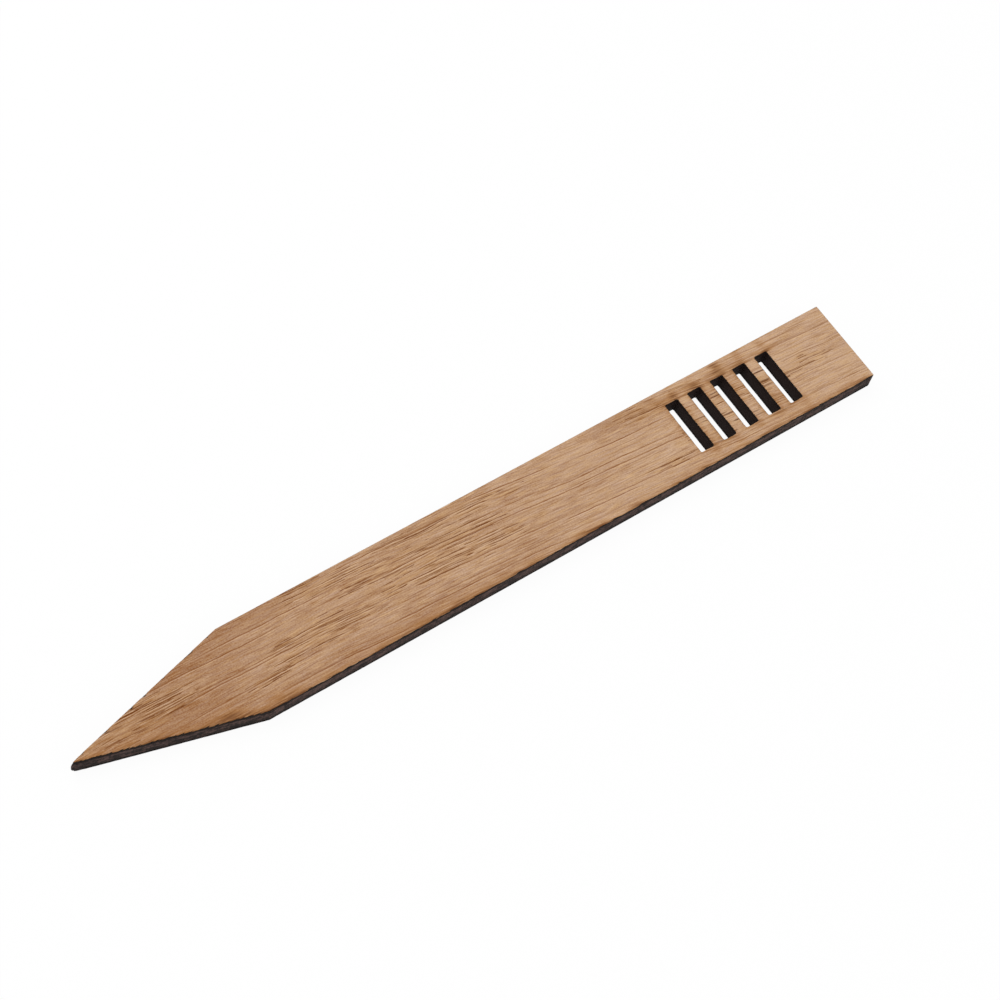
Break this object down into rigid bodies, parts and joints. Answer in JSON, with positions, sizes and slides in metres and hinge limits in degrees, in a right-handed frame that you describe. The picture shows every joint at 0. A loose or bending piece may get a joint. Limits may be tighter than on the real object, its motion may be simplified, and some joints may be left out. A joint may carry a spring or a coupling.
{
  "type": "plant label stake",
  "caption": "Flat pointed stake cut by laser from oak-veneered fibreboard, with a row of upright slots through its head, pushed into soil to mark a plant.",
  "frame": {"origin": "middle of the bounding box on the back face, which lies on the surface", "axes": "+X from the tip to the head, +Y across the width, +Z out of the front face"},
  "size_m": [0.16, 0.017, 0.0036],
  "materials": {
    "front_oak": "sanded oak veneer, unfinished, scorched brown along the cuts and black on its cut edge",
    "back_oak": "sanded oak veneer, unfinished, with smoke stains beside the cuts",
    "fibreboard": "fibreboard with a matt, dark brown charred edge where the laser cut it",
    "glue": "hard wood adhesive, charred at the cut edge"
  },
  "bodies": {
    "root": {"front_veneer": "front_oak", "front_glue_film": "glue", "core_board": "fibreboard", "back_glue_film": "glue", "back_veneer": "back_oak"}
  },
  "joints": []
}
